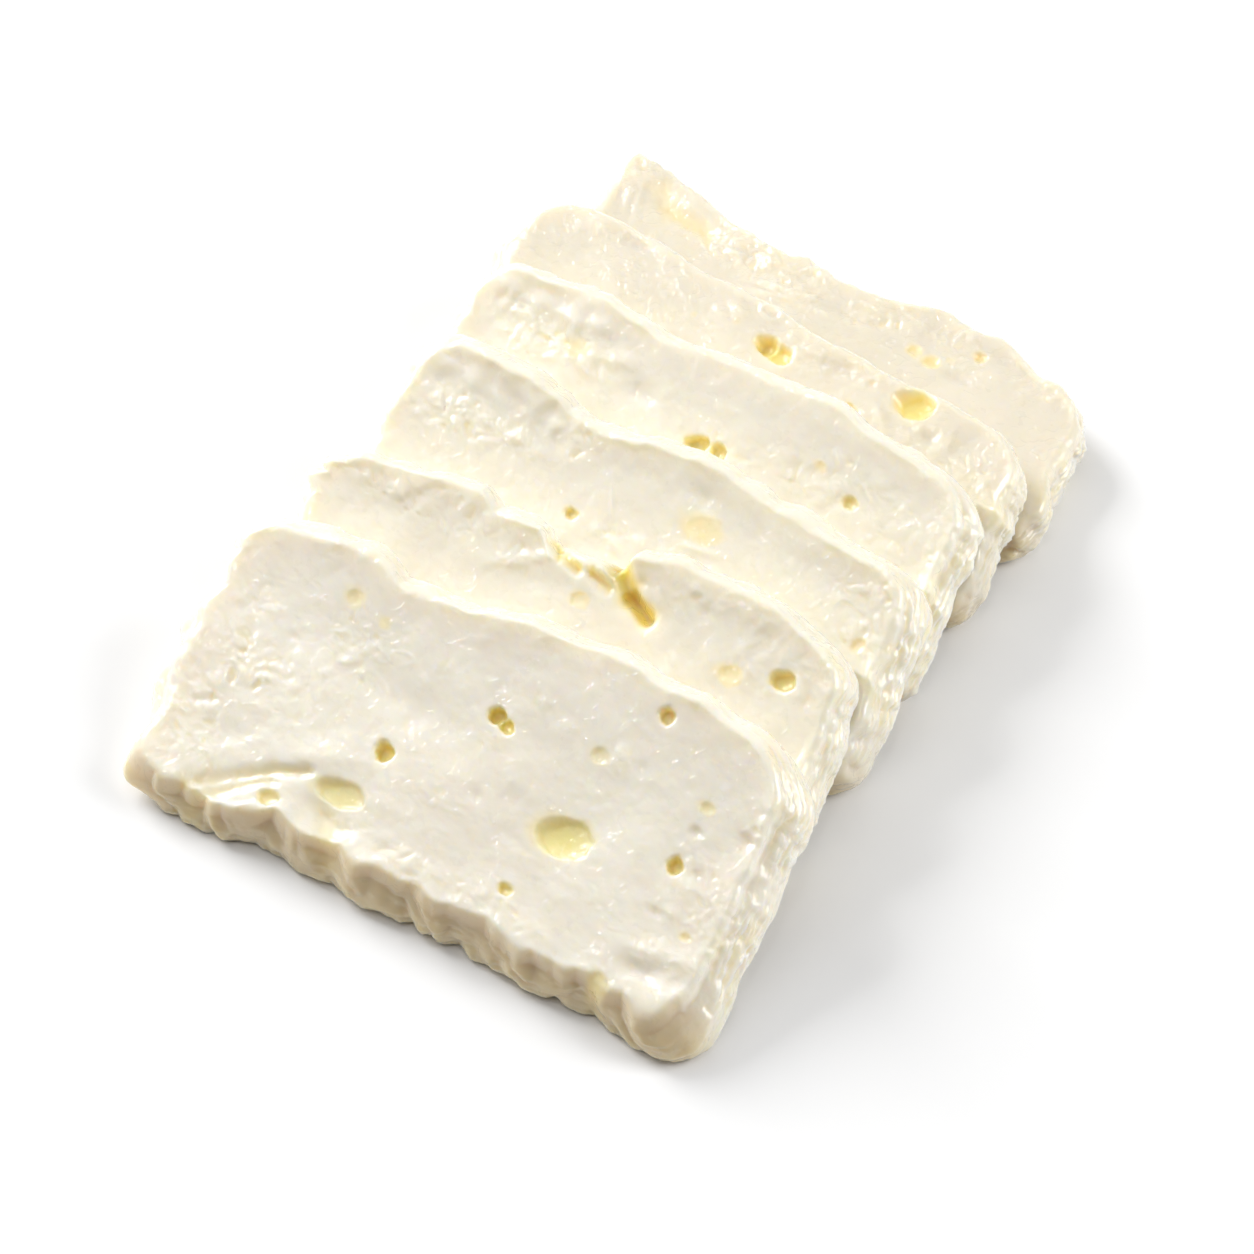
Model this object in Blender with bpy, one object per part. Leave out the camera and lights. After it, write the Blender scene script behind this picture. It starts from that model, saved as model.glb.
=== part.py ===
"""Six slices of a soft white cheese with eyes, fanned over one another.

Units are metres, +Z is up. X runs along the slices and Y runs back from the front slice. The
origin is on the surface that the cheese lies on, under the middle of the whole. The back slice
lies flat. Slices 5 to 2 each lie along the one behind: the front edge stands on the surface, the
slice leans back at LEAN, and it bends down to nearly level over the back slice. Slice 1 is the
deepest. It rests on its front edge and on slice 2, and sags between them.

A slice is worked out in its own coordinates first: x from its middle, u from its front edge and
h from its underside. Every dent goes inwards, so no slice leaves the room that its nest gives it.
"""
import math

import bmesh
import bpy
import numpy as np

MM = 0.001

# The block's own shape, which every slice shares
PLAN_CORNER = 9.5 * MM
RIM_ROUND = 2.2 * MM
RIM_ROUND_SPREAD = 0.6 * MM
RIM_ROUND_PITCH = 14 * MM
UNDER_ROUND = 1.3 * MM
SIDE_BULGE = 1.2 * MM
SIDE_BULGE_REACH = 3 * MM
FRONT_SLOPE_REACH = 20 * MM
FLARE_REACH = 24 * MM
EDGE_REACH = 20 * MM

# How the slices lie
GAP = 0.5 * MM
LEAN = math.radians(29)
FRONT_LEAN = math.radians(22)
SAG_START = 28 * MM
SAG_END = 46 * MM
LEVEL = math.radians(1.5)
BEND_START = 15 * MM
BEND_END = 37 * MM
SINK = 1.5 * MM
DRIFT = math.tan(math.radians(7))
FIFTH_FOOT = 112 * MM
BACK_FRONT = 129.5 * MM
LINE_REACH = 100 * MM
LINE_STEP = 0.25 * MM
COVER_FADE = 8 * MM

# Lumps of the cut faces and of the moulded rim: sizes with their pitch, and their reach from the rim
FACE_WAVES = ((0.9 * MM, 26 * MM), (0.5 * MM, 9 * MM))
FACE_DISH = 0.5 * MM
DISH_REACH = 9 * MM
WAVES_IN_MARKS = 0.3
SCALLOPS = ((0.9 * MM, 11 * MM, 6 * MM), (0.75 * MM, 4.6 * MM, 3 * MM))
GROOVE_STRETCH = 0.3
EYE_LIP = (0.35, 1.08)
EYE_WOBBLE = 0.14
CREASE_WOBBLE = 0.3
WOBBLE_PITCH = 3.5 * MM
WOBBLE_SEED, ROUND_SEED, SCALLOP_SEED, WAVE_SEED = 11, 20, 30, 60
SEED_STEP = 7

# The fine grid that each slice is shaped on, and what it is thinned to
GRID = 0.9 * MM
TRIANGLES = 2250
FLAT_BAND = 0.12 * MM


class Slice:
    """Sizes of one slice and the marks on its cut face, in millimetres and degrees."""

    def __init__(self, name, length, depth, thick, shift, covered, flare, far, eyes,
                 creases=(), near=((0, 0),), front_slope=0):
        self.name = name
        self.length = length * MM
        self.depth = depth * MM
        self.thick = thick * MM
        self.shift = shift * MM
        self.covered = covered * MM
        self.flare = flare * MM
        self.front_slope = math.tan(math.radians(front_slope))
        self.near = np.array(near) * MM
        self.far = np.array(far) * MM
        self.eyes = eyes
        self.creases = creases


# shift: how far its middle lies to the right of the whole's middle line
# covered: how far back from its front edge it lies under the slice in front of it
# flare: how much further its right end reaches below than above
# front_slope: how far its front side leans back, from a right angle to its faces
# near and far: where its front and far edges lie along it, as pairs of x and u
# eyes: x, u, long radius, short radius, turn, depth
# creases: x and u of both ends, half width, depth
SLICES = (
    Slice(
        "slice_1", length=119, depth=57, thick=11.5, shift=-6.5, covered=-30, flare=4.4,
        front_slope=27,
        near=((-60, -14), (-54, -9.0), (-48, -7.8), (-37, -7.2), (-30, -4.6), (-8, -4.6),
              (6, -3.6), (35, -4.2), (41, -3.2), (50, -4.4), (60, -3)),
        far=((-58, 53), (-48, 54.5), (-34, 56.5), (-26, 53.5), (-10, 55.5), (0, 58.5),
             (21, 59.5), (38, 59.5), (47, 58), (58, 55)),
        eyes=((2.2, 38.6, 2.3, 2.0, 0, 4.6), (5.0, 37.4, 1.8, 1.7, 0, 3.6),
              (-15.2, 22.3, 2.4, 2.3, 0, 4.2), (23.0, 23.5, 6.0, 3.9, 15, 2.4),
              (32.7, 53.0, 1.9, 1.8, 0, 3.2), (23.7, 40.8, 2.6, 2.2, 0, 1.4),
              (45.3, 28.1, 2.0, 2.2, 0, 3.6), (17.5, 6.8, 2.0, 1.9, 0, 3.0),
              (-33.5, 46.5, 2.8, 2.2, 0, 1.6), (-25.8, 44.8, 1.7, 1.5, 0, 1.4),
              (-20.4, 8.5, 5.4, 3.6, 10, 2.8), (-32.3, -0.6, 2.8, 2.0, 20, 2.4),
              (46.5, 41.1, 2.0, 1.6, 0, 1.6), (52.7, 16.3, 1.7, 1.6, 0, 1.5),
              (41.0, -2.6, 2.6, 2.4, 0, 1.8)),
        creases=((-48, -5.6, -39.4, 0.5, 1.5, 1.3), (-39.4, 0.5, -28, 7.5, 1.5, 1.6),
                 (-20, 2, -17, -4, 3.0, 1.4)),
    ),
    Slice(
        "slice_2", length=115, depth=46, thick=12.8, shift=-4.7, covered=14, flare=1.6,
        far=((-58, 38), (-50, 40), (-42, 42), (-24, 44), (-20, 41.5), (-10, 43.5), (-6, 39.5),
             (7, 40.5), (10, 46), (20, 49), (39, 49), (50, 46.5), (58, 45.5)),
        eyes=((45.4, 36.5, 3.2, 2.2, 20, 3.6), (35.0, 33.0, 3.4, 2.4, 10, 1.8),
              (56.0, 18.0, 1.6, 2.4, 20, 1.6), (2.0, 33.0, 2.6, 1.8, 0, 1.4)),
        creases=((8, 41.5, 11.5, 38.0, 2.0, 3.0), (11.5, 38.0, 16, 35.5, 1.7, 5.0)),
    ),
    Slice(
        "slice_3", length=112, depth=46, thick=12.2, shift=-1.5, covered=14, flare=3.4,
        far=((-56, 47), (-32, 47), (-25, 46), (-22, 44), (-13, 43.5), (-2, 46), (13, 47),
             (31, 44.5), (48, 43), (56, 44)),
        eyes=((-13.7, 25.6, 1.9, 1.6, 0, 3.0), (11.6, 34.0, 5.6, 3.4, 0, 1.6),
              (50.0, 27.0, 2.2, 1.6, 60, 1.4)),
    ),
    Slice(
        "slice_4", length=113, depth=48, thick=10.4, shift=-0.8, covered=14, flare=2.6,
        far=((-56, 47), (-46, 48.5), (-28, 49), (-14, 47.5), (-2, 49), (25, 48.5), (36, 47.5),
             (45, 46), (56, 46)),
        eyes=((-0.1, 30.4, 3.0, 2.2, 20, 4.2), (4.7, 30.8, 2.4, 2.0, 0, 3.4),
              (33.3, 32.8, 2.0, 1.8, 0, 2.6), (25.3, 36.7, 1.5, 1.3, 0, 1.4),
              (-31.0, 37.4, 3.0, 2.2, 0, 1.2), (46.8, 24.8, 2.4, 1.2, -25, 2.2)),
    ),
    Slice(
        "slice_5", length=116, depth=43, thick=11.4, shift=1.3, covered=14, flare=0.4,
        far=((-58, 44), (-44, 45.5), (-37, 46), (-22, 43.5), (-2, 42.5), (9, 39.5), (27, 40),
             (42, 38.5), (58, 36)),
        eyes=((-1.2, 33.5, 2.6, 2.3, 0, 4.8), (3.0, 32.3, 2.9, 2.2, 0, 3.6),
              (31.8, 35.0, 5.0, 3.4, 20, 3.0), (21.0, 28.9, 2.4, 1.2, -25, 2.2)),
    ),
    Slice(
        "slice_6", length=115, depth=43, thick=13.0, shift=5.0, covered=12, flare=0.2,
        far=((-58, 51), (-50, 50), (-40, 47.0), (-26, 43), (-12, 40.5), (4, 41.5), (17, 44),
             (36, 43.5), (45, 40), (58, 38.5)),
        eyes=((22.2, 30.9, 4.6, 2.4, 15, 1.6), (31.3, 37.0, 1.8, 1.5, 0, 1.6),
              (-1.0, 33.0, 3.0, 2.0, 0, 1.0)),
        creases=((-48, 43, -44, 38, 2.2, 1.4), (-44, 38, -33, 37, 2.6, 2.6)),
    ),
)


def smooth(t):
    """Ease from 0 to 1."""
    t = np.clip(t, 0.0, 1.0)
    return t * t * (3.0 - 2.0 * t)


def corner_value(ix, iy, iz, seed):
    """A repeatable value from -1 to 1 for each lattice corner."""
    n = ix * 73856093 ^ iy * 19349663 ^ iz * 83492791 ^ seed * 40503
    for shift, factor in ((13, 1274126177), (16, 668265263), (15, 374761393)):
        n = (n & 0xFFFFFFFF) ^ ((n & 0xFFFFFFFF) >> shift)
        n = n * factor + 12345
    return (n & 0xFFFFFFFF) / 2147483648.0 - 1.0


def noise(points, size, seed):
    """Smooth lattice noise from -1 to 1, with lumps of the given size."""
    q = points / size + 0.371 * seed
    cell = np.floor(q).astype(np.int64)
    f = q - cell
    f = f * f * f * (f * (f * 6 - 15) + 10)
    total = np.zeros(len(points))
    for corner in range(8):
        bits = np.array((corner & 1, corner >> 1 & 1, corner >> 2 & 1))
        weight = np.where(bits == 1, f, 1 - f).prod(axis=1)
        total += weight * corner_value(*(cell + bits).T, seed)
    return total


def bent_line(foot, angles, bend):
    """A line in the YZ plane that stands on the surface at foot and turns between two angles.

    The result holds run, angle, Y and Z of its points, with the run measured from the foot.
    """
    run = np.arange(-LINE_REACH, LINE_REACH, LINE_STEP)
    angle = angles[0] + (angles[1] - angles[0]) * smooth((run - bend[0]) / (bend[1] - bend[0]))
    y = np.cumsum(np.cos(angle)) * LINE_STEP
    z = np.cumsum(np.sin(angle)) * LINE_STEP
    y += foot - np.interp(0.0, run, y)
    z -= SINK + np.interp(0.0, run, z)
    return run, angle, y, z


def off_line(line, along, height):
    """Y and Z of points at a height off a bent line."""
    run, angle, line_y, line_z = line
    a = np.interp(along, run, angle)
    y = np.interp(along, run, line_y) - height * np.sin(a)
    z = np.interp(along, run, line_z) + height * np.cos(a)
    return y, z


def resting_line():
    """The line that slice 5 rests on."""
    return bent_line(FIFTH_FOOT, (LEAN, LEVEL), (BEND_START, BEND_END))


def lay_front(u, h):
    """Y and Z of points of the front slice."""
    return off_line(bent_line(0.0, (FRONT_LEAN, LEAN), (SAG_START, SAG_END)), u, h)


def lay_leaning(index, u, h):
    """Y and Z of points of a leaning slice, which keeps its distance from the resting line."""
    line = resting_line()
    run, angle = line[:2]
    below = sum(s.thick + GAP for s in SLICES[index + 1:-1]) + GAP
    bend = -np.gradient(angle, LINE_STEP)
    middle = below + SLICES[index].thick / 2
    length = np.cumsum(1 + bend * middle) * LINE_STEP
    length -= np.interp(-below / math.tan(LEAN), run, length)
    return off_line(line, np.interp(u, length, run), below + h)


def lay_back(u, h, thick):
    """Y and Z of points of the back slice: flat below, and under the resting line above."""
    line_y, line_z = resting_line()[2:]
    y = BACK_FRONT + u
    return y, h / thick * np.interp(y, line_y, line_z)


def lay(index, u, h):
    """Y and Z of points of a slice from u and h."""
    if index == 0:
        return lay_front(u, h)
    if index == len(SLICES) - 1:
        return lay_back(u, h, SLICES[index].thick)
    return lay_leaning(index, u, h)


def round_plan(cube, half):
    """Plan of the slice: the grid of a square turned into rings of round-cornered rectangles."""
    flat = cube[:, :2] * half
    ring = np.abs(cube[:, :2]).max(axis=1)[:, None]
    corner = PLAN_CORNER * ring
    inner = np.clip(flat, corner - half * ring, half * ring - corner)
    away = flat - inner
    size = np.maximum(np.linalg.norm(away, axis=1)[:, None], 1e-9)
    return inner + corner * np.clip(away / size, -1, 1) * (size > 2e-9)


def rim_distance(plan, half):
    """Distance in from the outline, and the outward direction in plan."""
    q = np.abs(plan) - (half - PLAN_CORNER)
    beyond = np.maximum(q, 0)
    reach = np.linalg.norm(beyond, axis=1)
    inset = np.maximum(PLAN_CORNER - reach - np.minimum(q.max(axis=1), 0), 0)
    axis = np.eye(2)[q.argmax(axis=1)]
    out = np.where(reach[:, None] > 1e-9, beyond / np.maximum(reach, 1e-9)[:, None], axis)
    return inset, out * np.sign(plan)


def eye_depth(x, u, eye, wobble):
    """Depth of one eye at points of the cut face."""
    eye_x, eye_u, long_r, short_r, turn, deep = eye
    c, n = math.cos(math.radians(turn)), math.sin(math.radians(turn))
    dx, du = x - eye_x * MM, u - eye_u * MM
    r = np.hypot((dx * c + du * n) / (long_r * MM), (du * c - dx * n) / (short_r * MM))
    r = r * (1 + EYE_WOBBLE * wobble)
    return deep * MM * (1 - smooth((r - EYE_LIP[0]) / (EYE_LIP[1] - EYE_LIP[0])))


def crease_depth(x, u, crease, wobble):
    """Depth of one crease at points of the cut face."""
    start, end = np.array(crease[:2]) * MM, np.array(crease[2:4]) * MM
    width, deep = crease[4] * MM, crease[5] * MM
    line = end - start
    p = np.stack([x, u], axis=1) - start
    t = np.clip(p @ line / (line @ line), 0, 1)
    away = np.linalg.norm(p - t[:, None] * line, axis=1) * (1 + CREASE_WOBBLE * wobble)
    return deep * np.exp(-(away / width) ** 2)


def marks(s, x, u):
    """Depth of the eyes and creases at points of the cut face."""
    depth = np.zeros(len(x))
    wobble = noise(np.stack([x, u, 0 * x], axis=1), WOBBLE_PITCH, WOBBLE_SEED)
    for eye in s.eyes:
        depth = np.maximum(depth, eye_depth(x, u, eye, wobble))
    for crease in s.creases:
        depth = np.maximum(depth, crease_depth(x, u, crease, wobble))
    return depth


def edges(s, x, u):
    """How far the front and far edges of a slice move its points along u."""
    near = np.interp(x, s.near[:, 0], s.near[:, 1])
    far = np.interp(x, s.far[:, 0], s.far[:, 1]) - s.depth
    return near * smooth(1 - u / EDGE_REACH) + far * smooth(1 - (s.depth - u) / EDGE_REACH)


def shape(index, cube):
    """Places of the points of a slice that starts as a cube from -1 to 1."""
    s = SLICES[index]
    half = np.array((s.length, s.depth)) / 2
    plan = round_plan(cube, half)
    inset, out = rim_distance(plan, half)
    level = cube[:, 2]
    upper = (1 + level) / 2
    own = np.stack([plan[:, 0], plan[:, 1], level * s.thick / 2], axis=1)
    seen = smooth((plan[:, 1] + half[1] - s.covered) / COVER_FADE) * upper

    rounding = UNDER_ROUND + (RIM_ROUND - UNDER_ROUND) * seen
    rounding += RIM_ROUND_SPREAD * noise(own, RIM_ROUND_PITCH, ROUND_SEED + index) * seen
    drop = rounding - np.sqrt(np.maximum(rounding ** 2 - np.maximum(rounding - inset, 0) ** 2, 0))
    h = s.thick / 2 + level * (s.thick / 2 - drop)

    swell = SIDE_BULGE * (1 - level ** 2) * np.exp(-inset / SIDE_BULGE_REACH)
    tall = own * (1, 1, GROOVE_STRETCH)
    for k, (size, pitch, reach) in enumerate(SCALLOPS):
        lump = noise(tall, pitch, SCALLOP_SEED + SEED_STEP * index + k)
        swell += size * lump * np.exp(-inset / reach)
    x = plan[:, 0] + out[:, 0] * swell
    u = plan[:, 1] + half[1] + out[:, 1] * swell
    u = u + edges(s, x, u)

    place = np.stack([x, u, 0 * x], axis=1)
    relief = FACE_DISH * smooth(inset / DISH_REACH)
    for k, (size, pitch) in enumerate(FACE_WAVES):
        relief += size * (1 + noise(place, pitch, WAVE_SEED + SEED_STEP * index + k)) / 2
    relief = np.maximum(relief, marks(s, x, u) + WAVES_IN_MARKS * relief)
    h = h - relief * seen * upper

    u = u + h * s.front_slope * np.clip(1 - u / FRONT_SLOPE_REACH, 0, 1)
    x = x + s.flare * (1 - upper) * smooth(1 - (half[0] - x) / FLARE_REACH)
    y, z = lay(index, u, h)
    return np.stack([x + s.shift - DRIFT * y, y, np.maximum(z, 0)], axis=1)


def grid_cube(sizes):
    """A cube from -1 to 1 whose faces are cut into a grid of about GRID at the given sizes."""
    bm = bmesh.new()
    bmesh.ops.create_cube(bm, size=2.0)
    for axis, size in enumerate(sizes):
        edges_along = [e for e in bm.edges if abs(e.verts[0].co[axis] - e.verts[1].co[axis]) > 1]
        cuts = round(size / GRID) - 1
        bmesh.ops.subdivide_edges(bm, edges=edges_along, cuts=cuts, use_grid_fill=True)
    return bm


def thin(mesh, name):
    """The mesh thinned to TRIANGLES, with its underside laid flat again."""
    fine = bpy.data.objects.new(name + "_fine", mesh)
    bpy.context.scene.collection.objects.link(fine)
    mesh.calc_loop_triangles()
    decimate = fine.modifiers.new("thin", "DECIMATE")
    decimate.ratio = TRIANGLES / len(mesh.loop_triangles)
    decimate.use_collapse_triangulate = True
    graph = bpy.context.evaluated_depsgraph_get()
    result = bpy.data.meshes.new_from_object(fine.evaluated_get(graph))
    bpy.data.objects.remove(fine)
    for vert in result.vertices:
        if vert.co.z < FLAT_BAND:
            vert.co.z = 0.0
    result.name = name
    return result


def cheese_material():
    """Creamy white, soft and slightly wet."""
    material = bpy.data.materials.new("soft_cheese")
    material.use_nodes = True
    shader = material.node_tree.nodes["Principled BSDF"]
    shader.inputs["Base Color"].default_value = (0.90, 0.83, 0.68, 1)
    shader.inputs["Roughness"].default_value = 0.38
    shader.inputs["Subsurface Weight"].default_value = 0.3
    shader.inputs["Subsurface Radius"].default_value = (0.004, 0.003, 0.0015)
    return material


def make_slice(index, material):
    s = SLICES[index]
    bm = grid_cube((s.length, s.depth, s.thick))
    places = shape(index, np.array([v.co for v in bm.verts]))
    for vert, place in zip(bm.verts, places):
        vert.co = place
    mesh = bpy.data.meshes.new(s.name)
    bm.to_mesh(mesh)
    bm.free()
    mesh = thin(mesh, s.name)
    mesh.materials.append(material)
    mesh.shade_smooth()
    return bpy.data.objects.new(s.name, mesh)


def centre(objects):
    """Move the meshes so that the middle of their box is over the origin."""
    points = np.array([v.co for obj in objects for v in obj.data.vertices])
    middle = (points.min(axis=0) + points.max(axis=0)) / 2
    for obj in objects:
        for vert in obj.data.vertices:
            vert.co.x -= middle[0]
            vert.co.y -= middle[1]


def main():
    for obj in list(bpy.data.objects):
        bpy.data.objects.remove(obj)
    group = bpy.data.collections.new("ezine_cheese")
    bpy.context.scene.collection.children.link(group)
    material = cheese_material()
    slices = [make_slice(index, material) for index in range(len(SLICES))]
    centre(slices)
    for obj in slices:
        group.objects.link(obj)


main()
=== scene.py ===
"""Looks of six slices of a soft white cheese with eyes, fanned over one another.

The slices are shaped as in the part's source, on a much finer grid, with the curd, the eyes and
the thin layers of the cut ends worked into the surface. A slice's own x runs along it, u runs
back over its cut face from the front edge, and h stands up from its underside. Lengths are metres
unless a name or a table says millimetres.
"""
import math

import bmesh
import bpy
import numpy as np
from bpy.props import FloatProperty, FloatVectorProperty, PointerProperty
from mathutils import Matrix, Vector


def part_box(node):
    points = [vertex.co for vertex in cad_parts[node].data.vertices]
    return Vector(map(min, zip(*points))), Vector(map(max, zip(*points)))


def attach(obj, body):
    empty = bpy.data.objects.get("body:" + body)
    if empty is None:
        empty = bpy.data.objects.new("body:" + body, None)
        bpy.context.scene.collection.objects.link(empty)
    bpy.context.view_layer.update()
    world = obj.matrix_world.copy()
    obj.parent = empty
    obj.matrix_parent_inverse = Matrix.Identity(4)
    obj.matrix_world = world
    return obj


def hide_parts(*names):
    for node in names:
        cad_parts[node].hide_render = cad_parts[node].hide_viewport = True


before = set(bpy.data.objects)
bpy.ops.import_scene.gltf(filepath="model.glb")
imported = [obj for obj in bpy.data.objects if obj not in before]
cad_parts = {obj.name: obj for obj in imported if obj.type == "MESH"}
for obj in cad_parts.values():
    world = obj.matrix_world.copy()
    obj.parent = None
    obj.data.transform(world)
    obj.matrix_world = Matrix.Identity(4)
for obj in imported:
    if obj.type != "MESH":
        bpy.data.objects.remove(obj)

bl_info = {
    "name": "Sliced Soft White Cheese",
    "version": (1, 0, 0),
    "blender": (4, 5, 0),
    "location": "View3D > Sidebar > Cheese",
    "description": "Six fanned slices of a soft white cheese, on a plain stage",
    "category": "Add Mesh",
}

MM = 0.001

# The block's own shape, which every slice shares
PLAN_CORNER = 9.5 * MM
RIM_ROUND = 2.2 * MM
RIM_ROUND_SPREAD = 0.6 * MM
RIM_ROUND_PITCH = 14 * MM
UNDER_ROUND = 1.3 * MM
SIDE_BULGE = 1.2 * MM
SIDE_BULGE_REACH = 3 * MM
FRONT_SLOPE_REACH = 20 * MM
FLARE_REACH = 24 * MM
EDGE_REACH = 20 * MM

# How the slices lie
GAP = 0.5 * MM
LEAN = math.radians(29)
FRONT_LEAN = math.radians(22)
SAG_START = 28 * MM
SAG_END = 46 * MM
LEVEL = math.radians(1.5)
BEND_START = 15 * MM
BEND_END = 37 * MM
SINK = 1.5 * MM
DRIFT = math.tan(math.radians(7))
FIFTH_FOOT = 112 * MM
BACK_FRONT = 129.5 * MM
LINE_REACH = 100 * MM
LINE_STEP = 0.25 * MM
COVER_FADE = 8 * MM

# Lumps of the cut faces and of the moulded rim: sizes with their pitch, and their reach from the rim
FACE_WAVES = ((0.9 * MM, 26 * MM), (0.5 * MM, 9 * MM))
FACE_DISH = 0.5 * MM
DISH_REACH = 9 * MM
WAVES_IN_MARKS = 0.3
SCALLOPS = ((0.9 * MM, 11 * MM, 6 * MM), (0.75 * MM, 4.6 * MM, 3 * MM))
GROOVE_STRETCH = 0.3
CREASE_WOBBLE = 0.3
WOBBLE_PITCH = 3.5 * MM
WOBBLE_SEED, ROUND_SEED, SCALLOP_SEED, WAVE_SEED = 11, 20, 30, 60
SEED_STEP = 7

# How noise shifts with its seed, and how strongly it tells its lumps apart
NOISE_STEP = 0.371
GRAIN_STEP, GRAIN_OFF = np.array((0.371, 0.529, 0)), np.array((0, 0, 0.5))
GRAIN_SEED, GRAIN_GAIN = 1013, 2.2
SKIN_SEED, CURD_SEED, STRATA_SEED, PATCH_SEED = 210, 300, 400, 500

# Finer lumps of the rim, which only the looks have: size, pitch, reach from the rim, and for
# lobes and beads the share of their height that is cut in between them
RIM_CURDS = (0.32 * MM, 2.4 * MM, 1.8 * MM)
RIM_CURD_STRETCH = (1, 1, 0.6)
BEADS = (1.1 * MM, 5.2 * MM, 2.6 * MM, 0.3)
LOBES = (1.9 * MM, 9.5 * MM, 5 * MM, 0.25)
LOBES_LEFT = 1.9
LOBE_SKEW = np.array(((1, 0, 0), (0, 1, 0), (0.5, 0, 0.6)))
# Share of a side's height over which lobes and beads grow from its foot, how much calmer the far
# side and the right end are, and how sharply curds and layers fade at a side's two edges
FOOT = 0.3
FAR_CALM, END_CALM = 0.75, 0.45
EDGE_POWER = 6

# The front slice's left end: where its corner starts to be blunt along x and u with the length
# that takes, how far the corner's foot and top move, and its bulge's size, middle and reaches
CORNER = (-46 * MM, 10 * MM, 9 * MM, 14 * MM)
CORNER_FOOT, CORNER_TOP = np.array((2.4, 2.6)) * MM, np.array((-1.6, -0.3)) * MM
LEFT_BULGE = (2.6 * MM, 24 * MM, 17 * MM, 9 * MM)

# How strongly the sides are drawn in below a height, where they meet the surface
UNDERCUT, UNDERCUT_TOP = 0.9, 1.2 * MM

# Thin layers along the sides, of which the right end shows all and the left end the least
STRATA_DEPTH = 0.7 * MM
STRATA_PITCH = 1.8 * MM
STRATA_STRETCH = (0.16, 0.16, 1)
STRATA_SHARPNESS = 3
STRATA_MIDDLE = 0.8
STRATA_BEND = 1.4 * MM
STRATA_BEND_PITCH = 8 * MM
STRATA_PATCH = 13 * MM
STRATA_IN_PATCH = 0.7
STRATA_LEAST, STRATA_END = 0.25, 0.3
# Depth of the grooves between the layers that take their painted shade in full
STRATA_SHADE = 0.5 * MM

# The skin of the cut face, and its raised lip: size, middle and width in from the rim, pitch
SKIN_WAVES = ((0.09 * MM, 4.2 * MM), (0.04 * MM, 1.8 * MM))
LIP = (0.4 * MM, 1.5 * MM, 1.1 * MM, 7 * MM)
LIP_SPREAD = 0.6

# Curd: lumps parted by creases, bent by a swirl, with pores of a pitch, a least value, a spread
# and a depth; where it lies, along the rim and in patches with a ragged edge; where its hollows take
# painted shade
CURD_DEPTH = 0.4 * MM
CURD_PITCHES = (3.6 * MM, 1.9 * MM)
CURD_GAIN, CURD_MIDDLE = 1.3, 0.5
CURD_CREASE = 0.25
CURD_TURN = np.array(((0.8, 0.6, 0), (-0.6, 0.8, 0), (0, 0, 1)))
CURD_SWIRL = (1.1 * MM, 5 * MM)
CURD_PORE = (2.6 * MM, 0.45, 0.4, 0.6)
CURD_LEAST = 0.18
CURD_ON_RIM, CURD_RIM, CURD_RIM_RAGGED = 0.4, 5 * MM, 0.5
CURD_PATCH, CURD_IN_PATCH = 7 * MM, 0.8
CURD_EDGE, CURD_EDGE_RAGGED = 1.5, 0.6
CURD_SHADE, CURD_SHADE_GAIN = 0.3, 1.5

# Torn steps and the thin edges of dried puddles
STEP_WOBBLE = ((2.2 * MM, 6 * MM), (0.9 * MM, 2.6 * MM))
STEP_FADE = 3.5 * MM
RING_WIDTH = 0.28 * MM
RING_WOBBLE = 0.2

# Eyes: how far the lip is rounded on the side away from LIP_WAY and on the side towards it
EYE_WOBBLES = ((0.10, 3.5 * MM), (0.12, 2.2 * MM), (0.05, 1.1 * MM))
EYE_SPREAD = 1.2
EYE_SMALL = 2.2 * MM
EYE_DEEP = 0.68
LIP_SOFT = 0.85
LIP_CRISP = 0.18
LIP_WAY = np.array((0.85, -0.53))

# How far behind the slice in front a slice is still tucked in, and how much it rises there
TUCK_REACH = 3.5 * MM
TUCK_RISE = 1.2 * MM

# The fine grid that each slice is shaped on, how much coarser it is where a slice is only
# measured, what counts as hidden, and how much of that is kept
GRID = 0.37 * MM
COARSER = 4
HIDDEN_BELOW, HIDDEN_SEEN, HIDDEN_WALL = 0.02, 0.01, 0.5
HIDDEN_KEEP = 0.08

# Depth of eyes and creases that take their painted shade in full, and width of rims that take their
# painted highlight in full
EYE_SHADE_DEPTH = 2.4 * MM
RIM_HIGHLIGHT_REACH = 1.3 * MM

# How strongly each tint changes the colour of the cheese, in the order that they are laid on: the
# rim's painted highlight, the tucks' painted glow, the curd's tone with painted warm shade, and
# painted shade in hollows, on the front sides and in the eyes
TINTS = {"rim": 0.3, "tuck": 0.35, "curd": 0.15, "damp": 0.6, "front": 0.75, "eye": 1.0}

# Mottling: pitch, the band of its noise that is used, and the values that the band gives
SHADE_MOTTLE = (22 * MM, 0.35, 0.7, 0.0, 0.5)
GLOSS_MOTTLE = (3 * MM, 0.3, 0.7, 0.25, 0.4)
STREWN_MOTTLE = (9 * MM, 0.49, 0.59, 0.0, 1.0)

# Relief in the shading: pitch and height of the skin's, and of the wet curls that glint
SKIN_BUMP = (1.5 * MM, 0.04 * MM)
CURD_CURLS = (2.2 * MM, 0.2 * MM)
STREWN_CURLS = (3.4 * MM, 0.18 * MM)
CURL_WIDTH = 0.06
CURL_DETAIL = 1.0

# Sockets of a colour mix, whose names other kinds of mix share
MIX_FACTOR, MIX_FIRST, MIX_SECOND, MIX_RESULT = 0, 6, 7, 2

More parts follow.
